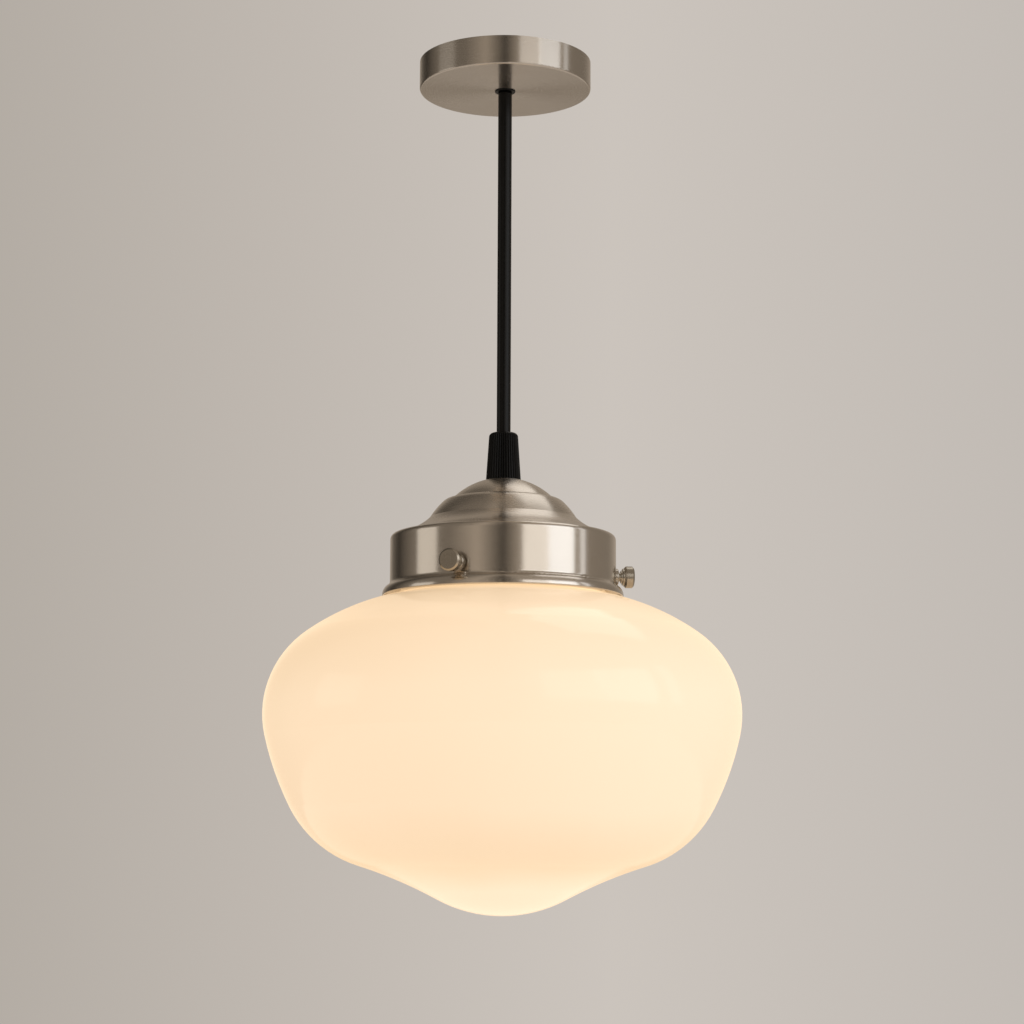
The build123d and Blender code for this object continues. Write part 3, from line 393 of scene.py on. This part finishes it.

# %% [markdown]
# ## Opal glass
# The shade is blown in opal glass: a clear skin over a milky body. The bulb lights it from inside,
# so its wide body is brightest. It is in shade where it turns in above the nub, and amber towards
# the neck, where the metal hides the bulb. A real glass shader with a lamp inside needs long renders
# to stay clean. Here the milky body is a pale glossy surface with a painted glow that stands in for
# the bulb's light through the glass, with painted shade above the nub and at the neck. The glow's
# colour follows the height, from 0 at the tip to 1 at the bead, and the smooth skin comes from a
# low roughness, so the soft lights still draw windows on it.

# %% Shade
# Painted light by height: the bulb's light through the opal, with painted shade at 0.135 above the nub and
# from 0.87 up to the neck.
PAINTED_GLOW = [(0.0, (0.85, 0.62, 0.39)), (0.07, (0.85, 0.61, 0.38)), (0.135, (0.72, 0.48, 0.24)),
        (0.28, (0.83, 0.59, 0.355)), (0.60, (0.88, 0.65, 0.41)), (0.80, (0.88, 0.63, 0.38)),
        (0.87, (0.74, 0.52, 0.30)), (0.91, (0.42, 0.28, 0.15))]
GLOW_STRENGTH = 0.9
OPAL_BODY = (0.50, 0.50, 0.51)
OPAL_SHINE = 0.3


def opal_glass():
    """A milky body with a glow painted by its height for the bulb's light, under a smooth and slightly wavy
    skin.
    """
    finish, shader = start_finish("opal_glass")
    low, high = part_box("glass_shade")[0][2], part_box("glass_shade")[1][2]
    height = reckon(finish, "DIVIDE", reckon(finish, "SUBTRACT", own_parts(finish)[2], low), high - low)
    cloud = noise(finish, own_metres(finish), scale=9.0, detail=2.0)
    uneven = reckon(finish, "ADD", height, spread(finish, cloud, low=-0.02, high=0.02))
    join(finish, stops(finish, uneven, PAINTED_GLOW), shader.inputs["Emission Color"])
    ripple = noise(finish, own_metres(finish), scale=40.0, detail=1.0)
    relief(finish, shader, ripple, depth=0.0004, strength=0.12)
    join(finish, spread(finish, cloud, low=0.10, high=0.15), shader.inputs["Roughness"])
    shader.inputs["Specular IOR Level"].default_value = OPAL_SHINE
    shader.inputs["Base Color"].default_value = (*OPAL_BODY, 1.0)
    shader.inputs["Emission Strength"].default_value = GLOW_STRENGTH
    return finish


wear(["glass_shade"], opal_glass())
print("the shade's glow has", len(PAINTED_GLOW), "tones from cream at the tip to amber at the neck")

# %% [markdown]
# ## Black plastic and the flex's sheath
# The cord grip and the grommet are moulded in black with a fine spark texture. The sheath of the
# flex is smoother. Both are nearly black, so their form is read from highlights: the roughness and
# the grain do more than the colour.

# %% Moulded and extruded black
BLACK = (0.002, 0.002, 0.002)
SOFT_BLACK = (0.006, 0.006, 0.006)


def speckled(name, deep, pale, grain, smooth, rough, depth, strength):
    """A material with an even fine grain between two tones."""
    finish, shader = start_finish(name)
    speck = noise(finish, own_metres(finish), grain, detail=4.0, roughness=0.6)
    join(finish, two_tones(finish, speck, deep, pale), shader.inputs["Base Color"])
    join(finish, spread(finish, speck, smooth, rough), shader.inputs["Roughness"])
    relief(finish, shader, speck, depth, strength)
    return finish, shader


def moulded(name, deep, pale, grain, smooth, rough, depth=0.00003, shine=0.5):
    """Moulded, fired or extruded material."""
    finish, shader = speckled(name, deep, pale, grain, smooth, rough, depth, strength=0.5)
    shader.inputs["Specular IOR Level"].default_value = shine
    return finish


wear(["grip_cap", "grip_base", "cord_grommet", "cord_collar", "holder_skirt"],
     moulded("moulded_black", BLACK, SOFT_BLACK, grain=2600.0, smooth=0.34, rough=0.46, shine=0.17))
sheath_finish = moulded("extruded_black", BLACK, SOFT_BLACK, grain=900.0, smooth=0.30, rough=0.36,
                        depth=0.000004, shine=0.2)
wear(["flex_top"], sheath_finish)
sheath.data.materials.append(sheath_finish)

# %% [markdown]
# ## What is hidden
# Inside the rose and the fitter are plated steel, brass, nylon, ceramic, the coloured cores and the
# bulb. They show only when the lamp is taken apart, yet each keeps its own finish, because a part
# that is opened should look as real as one that is closed. The collars riveted into the fitter's
# wall do show, and share its plating.

# %% Collars and hidden metals
ZINC_DARK, ZINC_BRIGHT = (0.52, 0.53, 0.55), (0.68, 0.69, 0.71)
BRASS_DARK, BRASS_BRIGHT = (0.62, 0.44, 0.18), (0.80, 0.61, 0.30)
ALUMINIUM_DARK, ALUMINIUM_BRIGHT = (0.66, 0.66, 0.66), (0.82, 0.82, 0.82)


def plated(name, deep, pale, smooth, rough, grain=700.0):
    """Metal with the mottle that plating or pressing leaves."""
    finish, shader = speckled(name, deep, pale, grain, smooth, rough, depth=0.00003, strength=0.3)
    shader.inputs["Metallic"].default_value = 1.0
    return finish


wear(["screw_bosses"], plated("nickel_collars", STEEL_DARK, NICKEL_DARK, 0.22, 0.34, grain=1500.0))
wear(["fixing_strap", "rose_side_screws", "collar_screw", "block_screw", "spring_washer", "lock_nut"],
     plated("zinc_plate", ZINC_DARK, ZINC_BRIGHT, 0.26, 0.44))
wear(["terminal_sleeves", "terminal_screws", "earth_ring", "earth_screw", "nipple", "screw_shell",
      "centre_contact", "holder_terminals", "holder_terminal_screws", "holder_cap", "bulb_contact"],
     plated("brass", BRASS_DARK, BRASS_BRIGHT, 0.20, 0.38))
wear(["bulb_cap", "filament_plates"],
     plated("pressed_aluminium", ALUMINIUM_DARK, ALUMINIUM_BRIGHT, 0.18, 0.34))

# %% Nylon, ceramic and core colours
NYLON_DARK, NYLON_BRIGHT = (0.74, 0.73, 0.68), (0.84, 0.83, 0.79)
CERAMIC_DARK, CERAMIC_BRIGHT = (0.78, 0.76, 0.71), (0.90, 0.89, 0.85)
CORE_COLOURS = {"live": ((0.16, 0.07, 0.03), (0.24, 0.11, 0.05)),
                "neutral": ((0.02, 0.10, 0.36), (0.04, 0.16, 0.50)),
                "earth": ((0.05, 0.28, 0.05), (0.75, 0.66, 0.05))}

wear(["terminal_block", "grip_collet"],
     moulded("natural_nylon", NYLON_DARK, NYLON_BRIGHT, grain=1200.0, smooth=0.40, rough=0.55))
wear(["holder_insert"],
     moulded("fired_ceramic", CERAMIC_DARK, CERAMIC_BRIGHT, grain=800.0, smooth=0.45, rough=0.7))
wear(["bulb_insulator"],
     moulded("black_ring", BLACK, SOFT_BLACK, grain=500.0, smooth=0.12, rough=0.2))
for core, (deep, pale) in CORE_COLOURS.items():
    wear([f"{core}_core_at_rose", f"{core}_core_at_holder"],
         moulded(f"core_{core}", deep, pale, grain=300.0, smooth=0.25, rough=0.38, depth=0.00001))

# %% [markdown]
# ## The bulb
# The bulb's envelope is frosted on its inside, its stem is clear, and the strips on the stem glow.
# They are behind the opal shade, so a plain transmission shader is enough for the two glasses.

# %% Bulb glass and light strips
FROST_DARK, FROST_BRIGHT = (0.90, 0.88, 0.84), (0.97, 0.96, 0.94)
STRIP_DEEP, STRIP_PALE = (1.0, 0.62, 0.26), (1.0, 0.78, 0.45)
STRIP_BODY = (0.9, 0.7, 0.3)
STRIP_STRENGTH = 4.0


def bulb_glass(name, smooth, rough):
    """Thin glass that lets most light through."""
    finish, shader = start_finish(name)
    frost = noise(finish, own_metres(finish), scale=1800.0, detail=4.0, roughness=0.6)
    join(finish, spread(finish, frost, smooth, rough), shader.inputs["Roughness"])
    join(finish, two_tones(finish, frost, FROST_DARK, FROST_BRIGHT), shader.inputs["Base Color"])
    shader.inputs["Transmission Weight"].default_value = 0.85
    return finish


def glowing_strip():
    """The warm coat of the strips, uneven as its powder is."""
    finish, shader = start_finish("glowing_strip")
    dots = noise(finish, own_metres(finish), scale=900.0, detail=2.0)
    join(finish, two_tones(finish, dots, STRIP_DEEP, STRIP_PALE), shader.inputs["Emission Color"])
    shader.inputs["Base Color"].default_value = (*STRIP_BODY, 1.0)
    shader.inputs["Emission Strength"].default_value = STRIP_STRENGTH
    return finish


wear(["bulb_glass"], bulb_glass("frosted_glass", smooth=0.4, rough=0.6))
wear(["bulb_stem"], bulb_glass("clear_stem", smooth=0.02, rough=0.06))
wear(["light_strips"], glowing_strip())

# %% [markdown]
# ## The studio
# A round pale floor lies well below the lamp. It glows a little, as if more light fell on it, which
# keeps the undersides of the rose and the fitter's lip from going black.

# %% Floor
FLOOR_RADIUS = 3.2
FLOOR_HEIGHT = -1.35
FLOOR_SIDES = 128
FLOOR_DARK, FLOOR_BRIGHT = (0.66, 0.61, 0.56), (0.70, 0.65, 0.60)
FLOOR_GLOW = (0.95, 0.87, 0.79)
FLOOR_LIT = 0.42

rim = [2 * math.pi * i / FLOOR_SIDES for i in range(FLOOR_SIDES)]
floor_mesh = bpy.data.meshes.new("floor")
floor_mesh.from_pydata([(FLOOR_RADIUS * math.cos(a), FLOOR_RADIUS * math.sin(a), FLOOR_HEIGHT) for a in rim],
                       [], [tuple(range(FLOOR_SIDES))])
floor = bpy.data.objects.new("floor", floor_mesh)
bpy.context.scene.collection.objects.link(floor)
floor_finish = moulded("pale_floor", FLOOR_DARK, FLOOR_BRIGHT, grain=6.0, smooth=0.7, rough=0.8)
floor_shader = floor_finish.node_tree.nodes["Principled BSDF"]
floor_shader.inputs["Emission Color"].default_value = (*FLOOR_GLOW, 1.0)
floor_shader.inputs["Emission Strength"].default_value = FLOOR_LIT
floor.data.materials.append(floor_finish)
print("floor at", FLOOR_HEIGHT, "m, and", 2 * FLOOR_RADIUS, "m wide")

# %% [markdown]
# The room is two pictures in one. The eye sees a plain pale grey, a little darker at its left. The
# metal sees warm tones that change with the direction round the lamp. Metal shows what stands
# around it, so a dark stretch behind the eye, between two paler ones, gives the fitter's wall its
# contrast. Each tone is a direction in degrees, 0 behind the eye and 90 to its right, and a level.

# %% Room
SEEN = [(0.10, (0.455, 0.415, 0.372)), (0.33, (0.525, 0.480, 0.436)), (0.58, (0.597, 0.550, 0.505)),
        (0.90, (0.540, 0.500, 0.462))]
SEEN_WIDTH = 0.5
ROOM_WARM = (1.0, 0.85, 0.69)
ROOM_LEVELS = [(-180, 0.31), (-165, 0.44), (-150, 0.16), (-132, 0.04), (-104, 0.22), (-55, 0.21),
               (-26, 0.46), (0, 0.06), (16, 0.36), (80, 0.40), (100, 0.28), (135, 0.26), (165, 0.44),
               (180, 0.31)]

room = bpy.data.worlds.new("room")
room.use_nodes = True
bpy.context.scene.world = room
way = add(room, "SeparateXYZ")
join(room, add(room, "TexCoord").outputs["Generated"], way.inputs[0])
across = reckon(room, "MULTIPLY_ADD", way.outputs[0], 1 / SEEN_WIDTH, 0.5)
seen = add(room, "Background")
join(room, stops(room, across, SEEN), seen.inputs["Color"])
turned = reckon(room, "ARCTAN2", way.outputs[0], reckon(room, "MULTIPLY", way.outputs[1], -1.0))
round_room = reckon(room, "MULTIPLY_ADD", turned, 0.5 / math.pi, 0.5)
lit = room.node_tree.nodes["Background"]
join(room, stops(room, round_room, [((angle + 180) / 360, dimmed(ROOM_WARM, bright))
                                    for angle, bright in ROOM_LEVELS]), lit.inputs["Color"])
either = add(room, "MixShader")
join(room, add(room, "LightPath").outputs["Is Camera Ray"], either.inputs[0])
join(room, lit.outputs[0], either.inputs[1])
join(room, seen.outputs[0], either.inputs[2])
join(room, either.outputs[0], room.node_tree.nodes["World Output"].inputs[0])
print("tones round the room:", len(ROOM_LEVELS))

# %% [markdown]
# A few soft lights stand round the lamp at one distance. The bright window is to the right of the
# eye, with its edge and a curtain at its sides. A weaker window is at the left, and a wide patch of
# light is high up at the right, behind the lamp. Each light is a rectangle that faces the fitter.

# %% Soft lights
AIM = Vector((0.0, 0.0, -0.30))
LIGHT_DISTANCE = 1.6
COOL = (0.89, 0.94, 1.0)
WARM = (1.0, 0.95, 0.87)
PLAIN = (1.0, 0.98, 0.95)
# Name, turn, rise and half width in degrees, height in metres, glow and colour.
# Turn 0 is behind the eye, and 90 is to its right.
LIGHTS = [("window_bright", 61, 15, 14.5, 0.85, 1.48, COOL),
          ("window_edge", 87, 15, 3.5, 0.85, 0.85, COOL),
          ("curtain", 33, 15, 13.5, 0.85, 1.0, PLAIN),
          ("window_left", -82, 10, 13.0, 0.7, 0.68, WARM),
          ("ceiling_right", 134, 63, 17.0, 0.8, 1.0, PLAIN)]


def softbox(name, turn, rise, half_turn, height, glow, colour):
    """A soft rectangular light that faces the lamp from one direction."""
    a, e = math.radians(turn), math.radians(rise)
    away = Vector((math.sin(a) * math.cos(e), -math.cos(a) * math.cos(e), math.sin(e)))
    data = bpy.data.lights.new(name, "AREA")
    data.shape = "RECTANGLE"
    data.size = 2 * LIGHT_DISTANCE * math.tan(math.radians(half_turn))
    data.size_y = height
    data.energy = glow * math.pi * data.size * data.size_y
    data.color = colour
    light = bpy.data.objects.new(name, data)
    light.location = AIM + away * LIGHT_DISTANCE
    light.rotation_euler = away.to_track_quat("Z", "Y").to_euler()
    light.visible_camera = False
    bpy.context.scene.collection.objects.link(light)
    return light


for row in LIGHTS:
    light = softbox(*row)
    print(light.name, "gives", round(light.data.energy, 2), "W")
